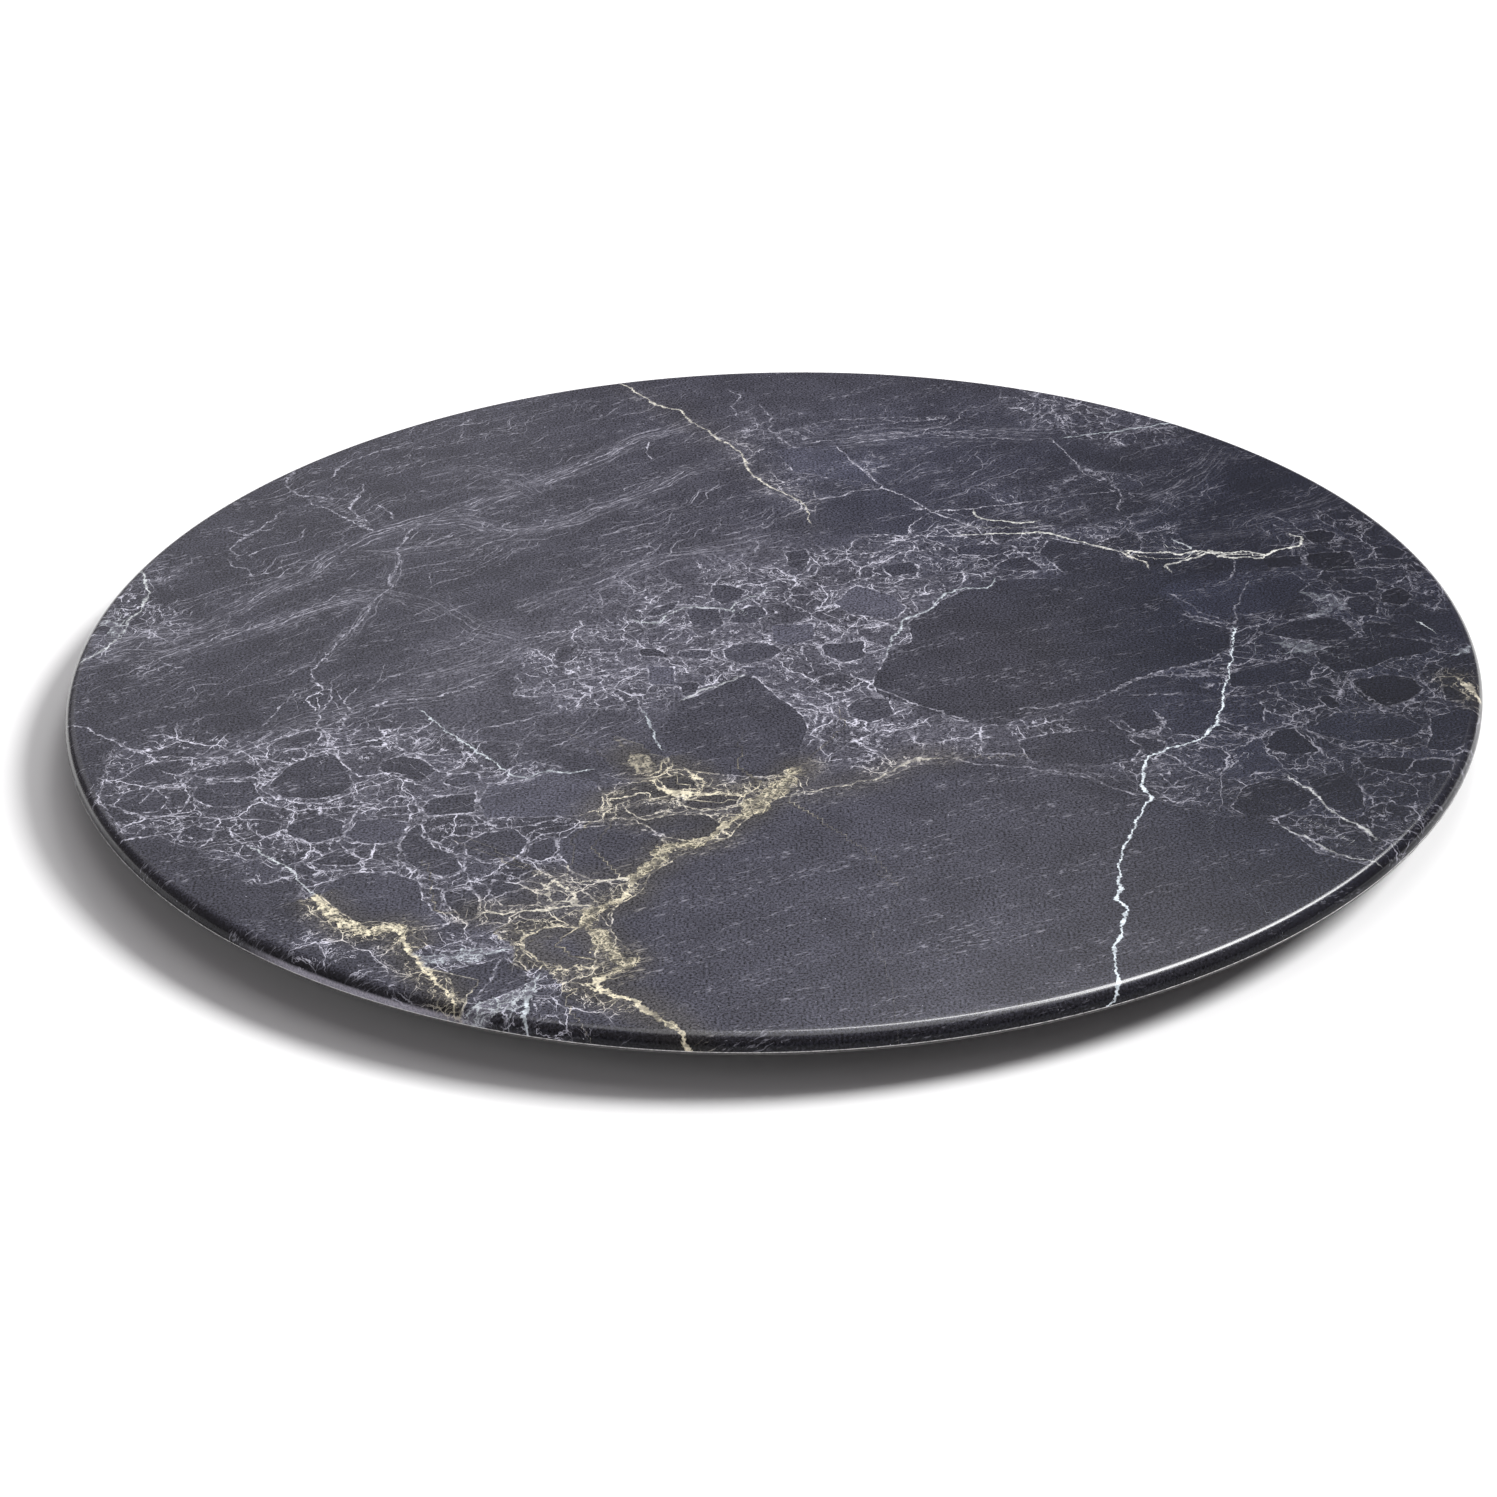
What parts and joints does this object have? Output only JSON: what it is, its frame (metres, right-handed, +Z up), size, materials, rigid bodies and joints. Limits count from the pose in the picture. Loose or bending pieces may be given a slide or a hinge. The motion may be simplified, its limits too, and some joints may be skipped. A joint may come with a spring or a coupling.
{
  "type": "lazy susan turntable",
  "caption": "Thin round serving board with a wrapped, rounded rim, turning on a flat aluminium ring ball bearing with rubber feet.",
  "frame": {"origin": "on the axis of rotation, in the plane that the feet stand on", "axes": "+Z up along the axis of rotation; +X towards the plug of the ball loading hole; +Y away from the viewer"},
  "size_m": [0.5999, 0.6, 0.0234],
  "materials": {
    "marble_film": "satin",
    "board_core": "matte",
    "backing_sheet": "satin",
    "ring_metal": "satin",
    "plug_metal": "satin",
    "cage_nylon": "matte",
    "ball_steel": "polished",
    "screw_steel": "satin",
    "foot_rubber": "matte"
  },
  "bodies": {
    "base": {"base_ring": "ring_metal", "loading_plug": "plug_metal", "foot_1": "foot_rubber", "foot_2": "foot_rubber", "foot_3": "foot_rubber", "foot_4": "foot_rubber", "foot_5": "foot_rubber", "foot_6": "foot_rubber"},
    "turntable": {"marble_film": "marble_film", "board_core": "board_core", "backing_sheet": "backing_sheet", "turning_ring": "ring_metal", "ring_screw_1": "screw_steel", "ring_screw_2": "screw_steel", "ring_screw_3": "screw_steel", "ring_screw_4": "screw_steel", "ring_screw_5": "screw_steel", "ring_screw_6": "screw_steel"},
    "ball_train": {"ball_cage": "cage_nylon", "bearing_balls": "ball_steel"}
  },
  "joints": [
    {"name": "turntable_spin", "type": "hinge", "parent": "base", "child": "turntable", "pos_m": [0, 0, 0.00925], "axis": [0, 0, 1], "continuous": true},
    {"name": "cage_spin", "type": "hinge", "parent": "base", "child": "ball_train", "pos_m": [0, 0, 0.00925], "axis": [0, 0, 1], "continuous": true}
  ],
  "couplings": [
    {"joint": "cage_spin", "follows": "turntable_spin", "ratio": 0.5}
  ]
}
